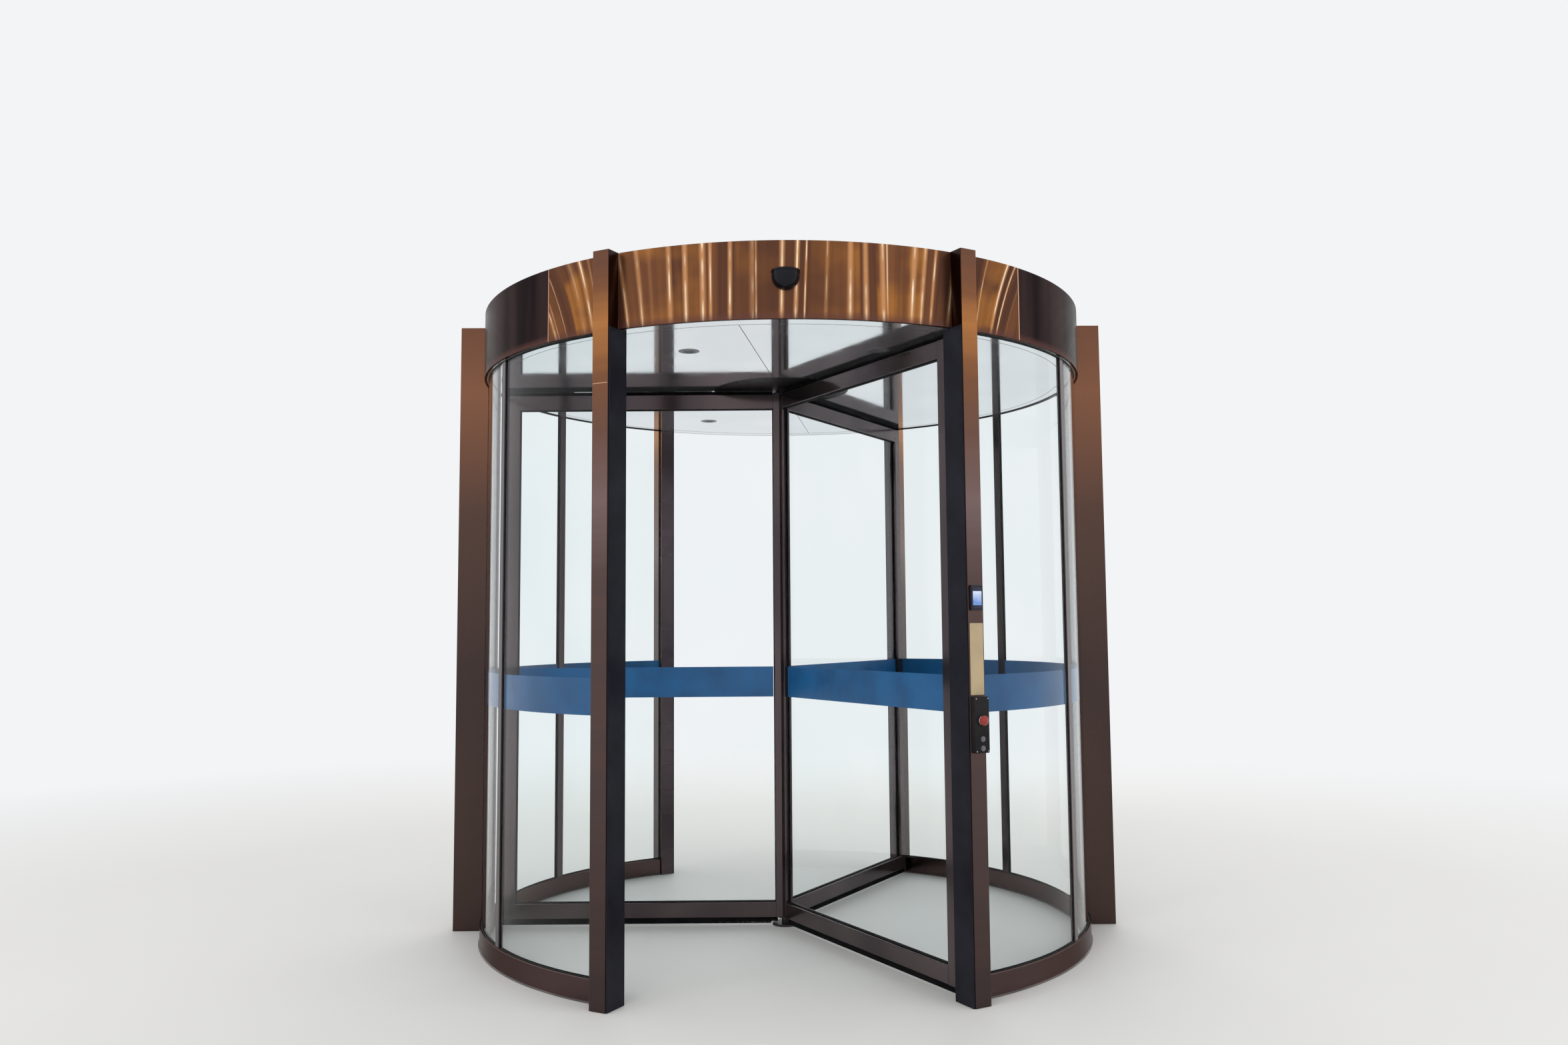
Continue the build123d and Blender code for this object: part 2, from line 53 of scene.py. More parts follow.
facings = (-pi / 2, pi / 2)
glassOuter = -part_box("left_wall_glass")[0].x
drum = {
    "railTop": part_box("base_rail_left")[1].z,
    "headHeight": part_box("fascia_left")[0].z,
    "top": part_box("fascia_left")[1].z,
    "roofTop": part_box("roof_cover")[1].z,
    "hubPlateLow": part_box("ceiling_hub_plate")[0].z,
    "hubPlateRadius": 0.345,
    "fasciaRadius": -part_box("fascia_left")[0].x,
    "railOuter": 1.500, "railInner": 1.464, "ringInner": 1.4237,
    "glassOuter": glassOuter, "glassInner": glassOuter - 0.012, "liteCount": 4,
    "postOuter": 1.577, "postWidth": 0.080, "mullionWidth": 0.044,
    "controlAngle": directionOf("post_front_right"),
}
openingHalf = pi / 2 + drum["controlAngle"]
wallStarts = {"left": pi / 2 + openingHalf, "right": -pi / 2 + openingHalf}
wallSweep = pi - 2 * openingHalf

rotor = {
    "angles": [directionOf(f"wing_{number}_glass") for number in (1, 2, 3)],
    "bottom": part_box("wing_1_stile")[0].z,
    "top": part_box("wing_1_stile")[1].z,
    "thickness": 0.046, "railHeight": 0.075, "armReach": 0.046,
    "stileInner": 1.364, "stileOuter": 1.422, "glassFace": 0.005,
}


# Shaping tools
creaseAngle = radians(35)


def besideEntrances(spread):
    # an angle to each side of both entrances
    return [facing + turn * spread for facing in facings for turn in (-1, 1)]


def evenAngles(count):
    # all the way round, the first one half a step past +X
    return [tau * (step + 0.5) / count for step in range(count)]


def spotAt(angle, radius, height):
    return (radius * cos(angle), radius * sin(angle), height)


def openMesh():
    bpy.ops.object.mode_set(mode="EDIT")


def closeMesh():
    bpy.ops.object.mode_set(mode="OBJECT")


def holdAll():
    bpy.ops.mesh.select_all(action="SELECT")


def clearSelection():
    bpy.ops.object.select_all(action="DESELECT")


def holdOnly(piece):
    clearSelection()
    piece.select_set(True)
    bpy.context.view_layer.objects.active = piece


def settle(piece):
    # the place goes into the mesh, and the object back to the origin
    holdOnly(piece)
    bpy.ops.object.transform_apply(location=True, rotation=True, scale=True)
    return piece


def cutBlock(size, centre, turn=0.0):
    bpy.ops.mesh.primitive_cube_add(size=1, location=centre, rotation=(0, 0, turn))
    block = bpy.context.object
    block.scale = size
    return settle(block)


def cutDisc(radius, height, sides=48):
    # stands on the origin along +Z
    place = (0, 0, height / 2)
    bpy.ops.mesh.primitive_cylinder_add(vertices=sides, radius=radius, depth=height, location=place)
    return settle(bpy.context.object)


def holdTop(piece):
    # edit mode opens with only the upper faces held
    holdOnly(piece)
    openMesh()
    bpy.ops.mesh.select_mode(type="FACE")
    bpy.ops.mesh.select_all(action="DESELECT")
    closeMesh()
    for face in piece.data.polygons:
        face.select = face.normal.z > 0.5
    openMesh()


def sinkTop(piece, border, depth):
    # insets the upper face and moves it down
    holdTop(piece)
    bpy.ops.mesh.inset(thickness=border)
    bpy.ops.mesh.extrude_region_move(TRANSFORM_OT_translate={"value": (0, 0, -depth)})
    closeMesh()


def easeEdges(piece, width, segments=2):
    holdOnly(piece)
    bevel = piece.modifiers.new("eased", "BEVEL")
    bevel.width = width
    bevel.segments = segments
    bevel.limit_method = "ANGLE"
    bevel.angle_limit = creaseAngle
    bpy.ops.object.modifier_apply(modifier=bevel.name)
    bpy.ops.object.shade_smooth_by_angle(angle=creaseAngle)
    return piece


def joinAll(pieces):
    clearSelection()
    for piece in pieces:
        piece.select_set(True)
    bpy.context.view_layer.objects.active = pieces[0]
    bpy.ops.object.join()
    return pieces[0]


def copyTo(piece, place):
    twin = piece.copy()
    twin.data = piece.data.copy()
    scene.collection.objects.link(twin)
    twin.matrix_world = place
    return settle(twin)


def copyAll(pattern, places):
    # one piece made of the pattern at every place, and the pattern itself goes
    copies = joinAll([copyTo(pattern, place) for place in places])
    bpy.data.objects.remove(pattern)
    return copies


def turned(angle):
    return Matrix.Rotation(angle, 4, "Z")


def facingOut(angle, radius, height, across=0.0):
    # +Z turns outwards at this angle, +Y stays up
    out = Vector((cos(angle), sin(angle), 0))
    around = Vector((-sin(angle), cos(angle), 0))
    axes = Matrix((around, Vector((0, 0, 1)), out)).transposed().to_4x4()
    return Matrix.Translation(out * radius + around * across + Vector((0, 0, height))) @ axes


def hangingAt(angle, radius, height):
    # +Z turns down
    return Matrix.Translation(spotAt(angle, radius, height)) @ Matrix.Rotation(pi, 4, "X")


def standingAt(angle, radius, height):
    return Matrix.Translation(spotAt(angle, radius, height)) @ turned(angle)


def cutRays(angles, reach, heights, width):
    # bars that point away from the drum's axis, between two radii and two heights
    size = (reach[1] - reach[0], width, heights[1] - heights[0])
    radius, middle = sum(reach) / 2, sum(heights) / 2
    return joinAll([cutBlock(size, spotAt(angle, radius, middle), angle) for angle in angles])


def spinOutline(outline, start=0.0, sweep=tau, steps=48):
    # the outline's (radius, height) corners are drawn by extruding one point, then spun about +Z
    corners = outline + outline[:1]
    bpy.ops.mesh.primitive_plane_add(size=0.001, location=(corners[0][0], 0, corners[0][1]))
    piece = settle(bpy.context.object)
    openMesh()
    bpy.ops.mesh.select_mode(type="VERT")
    holdAll()
    bpy.ops.mesh.merge(type="CENTER")
    for (radius, height), (nextRadius, nextHeight) in zip(corners, corners[1:]):
        step = (nextRadius - radius, 0, nextHeight - height)
        bpy.ops.mesh.extrude_region_move(TRANSFORM_OT_translate={"value": step})
    closeMesh()
    piece.rotation_euler.z = start
    settle(piece)
    openMesh()
    holdAll()
    bpy.ops.mesh.spin(steps=steps, angle=-sweep, center=(0, 0, 0), axis=(0, 0, 1))
    holdAll()
    bpy.ops.mesh.remove_doubles(threshold=0.00001)
    bpy.ops.mesh.fill_holes(sides=0)
    holdAll()
    bpy.ops.mesh.normals_make_consistent(inside=False)
    closeMesh()
    bpy.ops.object.shade_smooth_by_angle(angle=creaseAngle)
    return piece


def boxOutline(inner, outer, low, high):
    return [(inner, low), (outer, low), (outer, high), (inner, high)]


def finishPiece(piece, name, finish, body="drum", replaced=()):
    piece.name = name
    piece.data.materials.clear()
    piece.data.materials.append(finishes[finish])
    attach(piece, body)
    if replaced:
        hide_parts(*replaced)


def makeForWings(name, finish, parts, ease=0.0, replaced=None):
    # the parts lie along +X, and each wing gets its own copy of them as one piece
    pattern = joinAll(parts)
    if ease:
        easeEdges(pattern, ease)
    for number, angle in enumerate(rotor["angles"], start=1):
        gone = [f"wing_{number}_{replaced}"] if replaced else ()
        finishPiece(copyTo(pattern, turned(angle)), f"{name}_{number}", finish, "rotor", gone)
    bpy.data.objects.remove(pattern)


# Node tools
def paint(red, green, blue):
    # colours are written as a picture editor gives them, from 0 to 255
    levels = []
    for level in (red / 255, green / 255, blue / 255):
        levels.append(level / 12.92 if level <= 0.04045 else ((level + 0.055) / 1.055) ** 2.4)
    return (*levels, 1)


def fill(node, values):
    for socket, value in values.items():
        if isinstance(value, bpy.types.NodeSocket):
            node.id_data.links.new(value, node.inputs[socket])
        else:
            node.inputs[socket].default_value = value
    return node


def addNode(tree, kind, values=None, **settings):
    node = tree.nodes.new(kind)
    for setting, value in settings.items():
        setattr(node, setting, value)
    return fill(node, values or {})


def addMath(tree, operation, first, second=0.0):
    return addNode(tree, "ShaderNodeMath", {0: first, 1: second}, operation=operation).outputs[0]


def addSum(tree, first, second):
    return addMath(tree, "ADD", first, second)


def addProduct(tree, first, second):
    return addMath(tree, "MULTIPLY", first, second)


def addRange(tree, value, low, high, toLow=0.0, toHigh=1.0):
    values = {"Value": value, "From Min": low, "From Max": high, "To Min": toLow, "To Max": toHigh}
    return addNode(tree, "ShaderNodeMapRange", values).outputs["Result"]


def addStep(tree, value, edge):
    # 0 below the edge and 1 above it, soft by this much to both sides
    blur = 0.0005
    return addRange(tree, value, edge - blur, edge + blur)


def addMix(tree, factor, first, second, blend="MIX"):
    mix = addNode(tree, "ShaderNodeMix", data_type="RGBA", blend_type=blend)
    return fill(mix, {0: factor, 6: first, 7: second}).outputs[2]


def addNoise(tree, vector, scale, detail, roughness=0.5):
    values = {"Vector": vector, "Scale": scale, "Detail": detail, "Roughness": roughness}
    return addNode(tree, "ShaderNodeTexNoise", values).outputs["Fac"]


def addGrain(tree, vector, scale, detail, roughness=0.5, shift=(0, 0, 0)):
    # noise with its own scale along each axis
    place = addNode(tree, "ShaderNodeMapping", {"Vector": vector, "Scale": scale, "Location": shift})
    return addNoise(tree, place.outputs["Vector"], 1.0, detail, roughness)


def splitUp(tree, vector):
    return addNode(tree, "ShaderNodeSeparateXYZ", {"Vector": vector}).outputs


def putTogether(tree, across, up):
    return addNode(tree, "ShaderNodeCombineXYZ", {"X": across, "Z": up}).outputs["Vector"]


def addBands(tree, along, perMetre, blend=0.0):
    # random bands: the distance from the nearest one's middle, and three random values for each
    values = {"W": along, "Scale": perMetre}
    if blend:
        values["Smoothness"] = blend
    feature = "SMOOTH_F1" if blend else "F1"
    bands = addNode(tree, "ShaderNodeTexVoronoi", values, voronoi_dimensions="1D", feature=feature)
    return bands.outputs["Distance"], splitUp(tree, bands.outputs["Color"])


def addAround(tree, parts, radius):
    # metres around the drum
    return addProduct(tree, addMath(tree, "ARCTAN2", parts["Y"], parts["X"]), radius)


def addClimb(tree, height, stops):
    # the tone at each height, from (height, tone) stops
    low, high = stops[0][0], stops[-1][0]
    node = addNode(tree, "ShaderNodeValToRGB", {"Fac": addRange(tree, height, low, high)})
    elements = node.color_ramp.elements
    for _ in stops[2:]:
        elements.new(1)
    for element, (level, tone) in zip(elements, stops):
        element.position = (level - low) / (high - low)
        element.color = paint(*tone)
    return node.outputs["Color"]


def startGroup(name, inputs):
    group = bpy.data.node_groups.new(name, "ShaderNodeTree")
    kinds = {float: "NodeSocketFloat", tuple: "NodeSocketColor", type(None): "NodeSocketVector"}
    for label, value in inputs.items():
        socket = group.interface.new_socket(name=label, in_out="INPUT", socket_type=kinds[type(value)])
        if value is not None:
            socket.default_value = value
    for label, kind in (("Colour", tuple), ("Roughness", float), ("Height", float)):
        group.interface.new_socket(name=label, in_out="OUTPUT", socket_type=kinds[kind])
    return group, group.nodes.new("NodeGroupInput").outputs, group.nodes.new("NodeGroupOutput")


def placeGroup(tree, group, values):
    placed = tree.nodes.new("ShaderNodeGroup")
    placed.node_tree = group
    return fill(placed, values)


def joinShaders(tree, share, first, second, output="Material Output"):
    values = {0: share, 1: first.outputs[0], 2: second.outputs[0]}
    mix = addNode(tree, "ShaderNodeMixShader", values)
    fill(tree.nodes[output], {"Surface": mix.outputs[0]})


grey = (0.2, 0.2, 0.2, 1.0)
rolled = {"bandsPerMetre": 14.0, "bandBlend": 0.7, "highlightsPerMetre": 15.0, "highlightShift": 0.031}


def makeRolledSheet():
    # polished rolled sheet: bands of changing tone and warm patches, partly its own tone and partly painted
    # reflections, and narrow painted highlights where it would catch the lights
    group, given, result = startGroup("rolledSheet", {
        "Around": 0.0, "Up": 0.0, "Lean": 0.0, "Deep": grey, "Body": grey, "Warm": grey, "HighlightHalo": grey,
        "HighlightCore": grey, "Streaks": 1.0, "Roughness": 0.2,
    })
    slip = addNoise(group, putTogether(group, addProduct(group, given["Around"], 2.4), 0.0), 1.0, 1.0)
    slope = addSum(group, given["Lean"], addRange(group, slip, 0.3, 0.7, -0.05, 0.05))
    along = addSum(group, given["Around"], addProduct(group, slope, given["Up"]))
    place = putTogether(group, along, given["Up"])
    edge, each = addBands(group, along, rolled["bandsPerMetre"], rolled["bandBlend"])
    fine = addGrain(group, place, (26, 1, 0.8), 3.0, 0.6)
    glow = addGrain(group, place, (3.2, 1, 4.5), 2.0, shift=(7, 0, 3))
    # each band's tone and the warm patches: partly the sheet's own tone, partly painted reflections
    lit = addSum(group, addProduct(group, each["X"], 0.45), addProduct(group, fine, 0.8))
    tone = addMix(group, addRange(group, lit, 0.44, 0.86), given["Deep"], given["Body"])
    warm = addProduct(group, addRange(group, each["Y"], 0.45, 0.8), addRange(group, glow, 0.45, 0.6))
    warm = addProduct(group, warm, addRange(group, fine, 0.3, 0.6, 0.55, 1))
    tone = addMix(group, warm, tone, given["Warm"])
    # painted highlights: narrow bright streaks, each inside a paler halo, standing for the lights'
    # reflections
    away, line = addBands(group, addSum(group, along, rolled["highlightShift"]), rolled["highlightsPerMetre"])
    spread = addMath(group, "DIVIDE", away, addRange(group, line["X"], 0, 1, 0.35, 1.15))
    halo = addProduct(
        group, addRange(group, spread, 0.05, 0.24, 0.85, 0), addRange(group, line["Y"], 0.1, 0.6, 0.2, 1))
    tone = addMix(group, addProduct(group, halo, given["Streaks"]), tone, given["HighlightHalo"])
    own = putTogether(group, addProduct(group, line["Z"], 9.0), given["Up"])
    swell = addGrain(group, own, (4, 1, 8), 1.0)
    core = addProduct(group, addRange(group, spread, 0.02, 0.085, 1, 0), addRange(group, swell, 0.42, 0.6))
    core = addProduct(group, core, addRange(group, line["Y"], 0.1, 0.5))
    tone = addMix(group, addProduct(group, core, given["Streaks"]), tone, given["HighlightCore"])
    rough = addSum(group, given["Roughness"], addRange(group, glow, 0.3, 0.7, -0.05, 0.05))
    fill(result, {"Colour": tone, "Roughness": rough, "Height": edge})
    return group


def makeSatinSkin():
    # drawn or painted metal: slow tone drift, fine grain along the height, rubbed patches
    group, given, result = startGroup("satinSkin", {
        "Vector": None, "Deep": grey, "Body": grey, "Roughness": 0.3, "Grain": 1.0,
    })
    drift = addGrain(group, given["Vector"], (2.2, 2.2, 0.8), 1.0)
    hair = addGrain(group, given["Vector"], (420, 420, 4), 1.0)
    rub = addGrain(group, given["Vector"], (10, 10, 2), 3.0)
    tone = addMix(group, addRange(group, drift, 0.36, 0.64), given["Deep"], given["Body"])
    hairTone = addRange(group, hair, 0.3, 0.7, 0.98, 1.02)
    tone = addMix(group, given["Grain"], tone, addMix(group, 1.0, tone, hairTone, "MULTIPLY"))
    rough = addSum(group, given["Roughness"], addRange(group, rub, 0.35, 0.65, -0.015, 0.025))
    height = addProduct(group, rub, given["Grain"])
    fill(result, {"Colour": tone, "Roughness": rough, "Height": height})
    return group


def makeMouldedSkin():
    # moulded plastic, rubber or film: faint mottling, wiped marks and a fine tooth
    group, given, result = startGroup("mouldedSkin", {
        "Vector": None, "Deep": grey, "Body": grey, "Roughness": 0.3, "Marks": 0.1,
    })
    mottle = addNoise(group, given["Vector"], 6.0, 4.0)
    wipes = addGrain(group, given["Vector"], (9, 9, 3), 5.0, 0.65)
    tooth = addNoise(group, given["Vector"], 900.0, 0.0)
    tone = addMix(group, addRange(group, mottle, 0.36, 0.64), given["Deep"], given["Body"])
    wiped = addProduct(group, addRange(group, wipes, 0.45, 0.7), given["Marks"])
    rough = addSum(group, given["Roughness"], wiped)
    fill(result, {"Colour": tone, "Roughness": rough, "Height": tooth})
    return group


rolledSheet = makeRolledSheet()
satinSkin = makeSatinSkin()
mouldedSkin = makeMouldedSkin()

finishes = {}
satinRelief = 0.000003
climbShare = 0.75


def startMaterial(name, fixed):
    material = bpy.data.materials.new(name)
    material.use_nodes = True
    finishes[name] = material
    return material.node_tree, fill(material.node_tree.nodes["Principled BSDF"], fixed)


def objectPlace(tree):
    return addNode(tree, "ShaderNodeTexCoord").outputs["Object"]


def wearSkin(tree, shader, skin, relief, tone=None):
    bump = addNode(tree, "ShaderNodeBump", {"Height": skin.outputs["Height"], "Distance": relief})
    fill(shader, {
        "Base Color": tone or skin.outputs["Colour"],
        "Roughness": skin.outputs["Roughness"],
        "Normal": bump.outputs["Normal"],
    })


def addFold(tree, parts):
    # the four posts and fascia ends look alike, so all are painted as the one in the first quarter
    return addMath(tree, "ABSOLUTE", parts["X"]), addMath(tree, "ABSOLUTE", parts["Y"])


copper = {
    "tones": {"Deep": paint(88, 57, 44), "Body": paint(124, 80, 53), "Warm": paint(166, 108, 55)},
    "paintedHighlights": {"HighlightHalo": paint(206, 148, 100), "HighlightCore": paint(255, 232, 200)},
    "middleShade": paint(94, 61, 46), "middleShadeReach": (0.12, 0.32), "middleShadeShare": 0.75,
    "roughness": 0.28, "relief": 0.0004, "lean": -0.38, "edgeTint": (0.52, 0.49, 0.48, 1),
    "sheetEnd": radians(47.6), "shaded": ((28, 19, 22), (56, 41, 42)), "undersideShade": (40, 26, 24),
    "rim": (100, 66, 60), "rimHeights": (0.004, 0.034), "rimShare": 0.75,
    "jointHeight": 2.493, "postRelief": 0.00004, "postStreaks": 0.08,
    # painted reflections: the post's tone at each height, darker low down and brightest near the fascia
    "post": (
        (0.0, (70, 61, 62)), (1.3, (88, 74, 72)), (1.7, (94, 78, 76)),
        (2.0, (128, 108, 106)), (2.3, (118, 88, 76)), (2.52, (136, 92, 66)),
        (2.74, (192, 128, 74)), (2.88, (138, 92, 66)), (3.05, (114, 80, 66)),
    ),
    "postEdge": 0.0015, "postSideShade": (50, 33, 30), "postBack": (90, 78, 82), "postBackRadius": 1.4535,
}


def makeCopperFascia():
    # painted shade: the sheets at both ends of the wall line are painted darker, as dark reflections, and the
    # streaked ones are painted darker near the domes
    tree, shader = startMaterial("copperFascia", {
        "Metallic": 0.75, "Specular Tint": copper["edgeTint"], "Specular IOR Level": 0.15,
    })
    parts = splitUp(tree, objectPlace(tree))
    aside, deep = addFold(tree, parts)
    around = addAround(tree, parts, drum["fasciaRadius"])
    halfTurn = pi * drum["fasciaRadius"]
    fromMiddle = addMath(tree, "SUBTRACT", addMath(tree, "FLOORED_MODULO", around, halfTurn), halfTurn / 2)
    # painted shade towards the middle of the front and back arcs, under the domes
    middleShade = addRange(
        tree, addMath(tree, "ABSOLUTE", fromMiddle), *copper["middleShadeReach"], copper["middleShadeShare"], 0)
    tones = {label: addMix(tree, middleShade, tone, copper["middleShade"]) for label, tone in copper["tones"].items()}
    halfHeight = (drum["headHeight"] + drum["top"]) / 2
    sheet = placeGroup(tree, rolledSheet, {
        "Around": around, "Up": addMath(tree, "SUBTRACT", parts["Z"], halfHeight),
        "Lean": addProduct(tree, addMath(tree, "POWER", fromMiddle, 3.0), copper["lean"]),
        **tones, **copper["paintedHighlights"], "Roughness": copper["roughness"],
    })
    slow = addGrain(tree, putTogether(tree, around, parts["Z"]), (6, 1, 0.5), 2.0)
    # painted shade: the end sheets get dark tones standing for dark reflections, deeper still where they face
    # sideways
    dark = addMix(tree, addRange(tree, slow, 0.4, 0.62), *[paint(*tone) for tone in copper["shaded"]])
    turn = addMath(tree, "ARCTAN2", deep, aside)
    dark = addMix(tree, addRange(tree, turn, 0.1, 0.5, 0.4, 0), dark, paint(*copper["shaded"][0]))
    tone = addMix(tree, addStep(tree, turn, copper["sheetEnd"]), dark, sheet.outputs["Colour"])
    low = drum["headHeight"]
    foot, head = copper["rimHeights"]
    rim = addRange(tree, parts["Z"], low + foot, low + head, copper["rimShare"], 0)
    tone = addMix(tree, rim, tone, paint(*copper["rim"]))
    # painted shade on the fascia's underside
    tone = addMix(tree, addStep(tree, parts["Z"], low + 0.001), paint(*copper["undersideShade"]), tone)
    wearSkin(tree, shader, sheet, copper["relief"], tone)


def makeCopperPost():
    # flat sheet, whose tone climbs slowly up the post as painted reflections, brightest near the top, and
    # ripples a little across it
    tree, shader = startMaterial("copperPost", {"Metallic": 1.0})
    place = objectPlace(tree)
    parts = splitUp(tree, place)
    aside, deep = addFold(tree, parts)
    sheet = placeGroup(tree, rolledSheet, {
        "Around": parts["Z"], **copper["tones"], "Streaks": 0.0, "Roughness": copper["roughness"],
    })
    ripple = addGrain(tree, place, (2, 2, 26), 3.0)
    level = addSum(tree, parts["Z"], addRange(tree, ripple, 0, 1, -0.06, 0.06))
    tone = addMix(tree, copper["postStreaks"], addClimb(tree, level, copper["post"]), sheet.outputs["Colour"])
    turn = pi / 2 - openingHalf
    across = addMath(
        tree, "SUBTRACT", addProduct(tree, deep, cos(turn)), addProduct(tree, aside, sin(turn)))
    outward = addSum(tree, addProduct(tree, aside, cos(turn)), addProduct(tree, deep, sin(turn)))
    inset = drum["postWidth"] / 2 - copper["postEdge"]
    # painted shade on a side face of each post
    tone = addMix(tree, addStep(tree, across, inset), tone, paint(*copper["postSideShade"]))
    tone = addMix(tree, addStep(tree, outward, copper["postBackRadius"]), paint(*copper["postBack"]), tone)
    wearSkin(tree, shader, sheet, copper["postRelief"], tone)


def makeSatinMetal(name, deep, body, roughness, grain=1.0, metallic=0.88, edge=1.0, climb=None):
    # climb: the metal's tone also changes with its height, from these stops
    tree, shader = startMaterial(name, {"Metallic": metallic, "Specular Tint": (edge, edge, edge, 1)})
    place = objectPlace(tree)
    skin = placeGroup(tree, satinSkin, {
        "Vector": place, "Deep": paint(*deep), "Body": paint(*body), "Roughness": roughness, "Grain": grain,
    })
    tone = skin.outputs["Colour"]
    if climb:
        tone = addMix(tree, climbShare, tone, addClimb(tree, splitUp(tree, place)["Z"], climb))
    wearSkin(tree, shader, skin, satinRelief, tone)


baseRail = {"scuffHeight": 0.05, "scuffed": (118, 104, 98), "ledge": 0.0025, "ledgeReflection": (104, 90, 86)}


def makeBaseRail():
    # bronze bar with its grain along it, scuffed at the floor, and a paler upper ledge that is a painted
    # reflection
    tree, shader = startMaterial("bronzeRail", {"Metallic": 1.0, "Specular Tint": copper["edgeTint"]})
    place = objectPlace(tree)
    parts = splitUp(tree, place)
    skin = placeGroup(tree, satinSkin, {
        "Vector": putTogether(tree, parts["Z"], addAround(tree, parts, drum["railOuter"])),
        "Deep": paint(82, 66, 66), "Body": paint(106, 88, 85), "Roughness": 0.2, "Grain": 0.6,
    })
    scuffs = addGrain(tree, place, (14, 14, 60), 5.0, 0.7)
    low = addRange(tree, parts["Z"], 0, baseRail["scuffHeight"], 0.4, 0)
    low = addProduct(tree, addRange(tree, scuffs, 0.52, 0.7), low)
    tone = addMix(tree, low, skin.outputs["Colour"], paint(*baseRail["scuffed"]))
    # painted reflection on the upper ledge
    ledge = addStep(tree, parts["Z"], drum["railTop"] - baseRail["ledge"])
    tone = addMix(tree, ledge, tone, paint(*baseRail["ledgeReflection"]))
    wearSkin(tree, shader, skin, satinRelief, tone)


def makeMoulded(name, deep, body, roughness, marks=0.1, relief=0.00004, level=0.5):
    tree, shader = startMaterial(name, {"Specular IOR Level": level})
    skin = placeGroup(tree, mouldedSkin, {
        "Vector": objectPlace(tree), "Deep": paint(*deep), "Body": paint(*body),
        "Roughness": roughness, "Marks": marks,
    })
    wearSkin(tree, shader, skin, relief)


def makeClearGlass():
    # lamps shine through it: to their shadow rays it is only a light tint
    tree, shader = startMaterial("clearGlass", {"Transmission Weight": 1.0, "IOR": 1.14, "Roughness": 0.0})
    place = objectPlace(tree)
    drift = addNoise(tree, place, 1.6, 2.0)
    tone = addMix(tree, addRange(tree, drift, 0.3, 0.7), paint(248, 252, 252), paint(252, 254, 254))
    wave = addNode(tree, "ShaderNodeBump", {"Height": drift, "Distance": 0.0004})
    fill(shader, {"Base Color": tone, "Normal": wave.outputs["Normal"]})
    path = addNode(tree, "ShaderNodeLightPath")
    through = addNode(tree, "ShaderNodeBsdfTransparent", {"Color": (0.92, 0.95, 0.945, 1)})
    joinShaders(tree, path.outputs["Is Shadow Ray"], shader, through)


screenField = {"foot": 0.021, "head": (0.025, 0.024)}


def makeLitScreen():
    # a glass face with a lit field in it, pale at the top and bluer below, and nothing on it
    tree, shader = startMaterial("litScreen", {"Roughness": 0.08, "Emission Strength": 0.95})
    place = objectPlace(tree)
    low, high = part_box("display_panel")
    height = splitUp(tree, place)["Z"]
    cloud = addNoise(tree, place, 40.0, 2.0)
    rise = addSum(tree, addRange(tree, height, low.z, high.z), addRange(tree, cloud, 0, 1, -0.15, 0.15))
    lit = addMix(tree, addRange(tree, rise, 0.35, 0.72), paint(112, 150, 214), paint(214, 228, 250))
    near, far = screenField["head"]
    under = addRange(tree, height, high.z - near, high.z - far, 1, 0)
    inside = addProduct(tree, addStep(tree, height, low.z + screenField["foot"]), under)
    frameTone = addMix(tree, cloud, paint(14, 18, 40), paint(22, 26, 56))
    fill(shader, {"Base Color": frameTone, "Emission Color": addMix(tree, inside, (0, 0, 0, 1), lit)})


# painted reflections on the jambs: darker low down, brightest near the fascia
jambReflectionClimb = (
    (0.0, (60, 51, 50)), (1.3, (64, 54, 53)), (2.1, (92, 70, 62)),
    (2.7, (146, 98, 72)), (3.05, (124, 82, 62)),
)
makeCopperFascia()
makeCopperPost()
makeBaseRail()
makeClearGlass()
makeLitScreen()
# pale copper whose brightness is a painted highlight on narrow edges
makeSatinMetal("copperEdgeHighlight", (190, 140, 104), (222, 178, 146), 0.25)
makeSatinMetal("bronzeSteel", (76, 66, 69), (98, 86, 87), 0.14)
makeSatinMetal("bronzeJamb", (76, 56, 50), (96, 70, 60), 0.26, climb=jambReflectionClimb)
makeSatinMetal("mirrorSteel", (222, 224, 227), (230, 231, 233), 0.07, 0.2, 0.92)
makeSatinMetal("darkSteel", (62, 59, 58), (78, 74, 73), 0.3, edge=0.6)
makeSatinMetal("brightSteel", (176, 176, 178), (206, 206, 208), 0.2, 0.6)
makeSatinMetal("greyMetal", (132, 134, 136), (142, 144, 146), 0.45, 0.5)
makeSatinMetal("lampMetal", (106, 106, 108), (120, 120, 122), 0.35, 0.3, 0.3)
makeMoulded("blackReveal", (24, 24, 31), (31, 31, 39), 0.22, 0.05, level=0.08)
makeMoulded("blackGloss", (16, 18, 26), (26, 28, 38), 0.16, level=0.3)
makeMoulded("blackSatin", (20, 19, 21), (31, 29, 30), 0.4, level=0.15)
makeMoulded("smokedDome", (10, 11, 16), (18, 19, 28), 0.08, 0.05, level=0.2)
makeMoulded("blackRubber", (16, 16, 17), (28, 28, 29), 0.6, relief=0.0002, level=0.3)
makeMoulded("clearSealant", (62, 56, 54), (84, 76, 72), 0.35, relief=0.0001)
makeMoulded("blackBristle", (9, 9, 11), (20, 19, 22), 0.8, relief=0.0003, level=0.1)
makeMoulded("blueFilm", (14, 76, 124), (20, 90, 142), 0.35, 0.12)
makeMoulded("creamPlate", (160, 142, 110), (174, 155, 122), 0.4)
makeMoulded("redPlastic", (118, 24, 20), (142, 34, 27), 0.22)
makeMoulded("frostedLens", (92, 92, 94), (104, 104, 106), 0.4)
print("finishes are ready:", len(finishes))


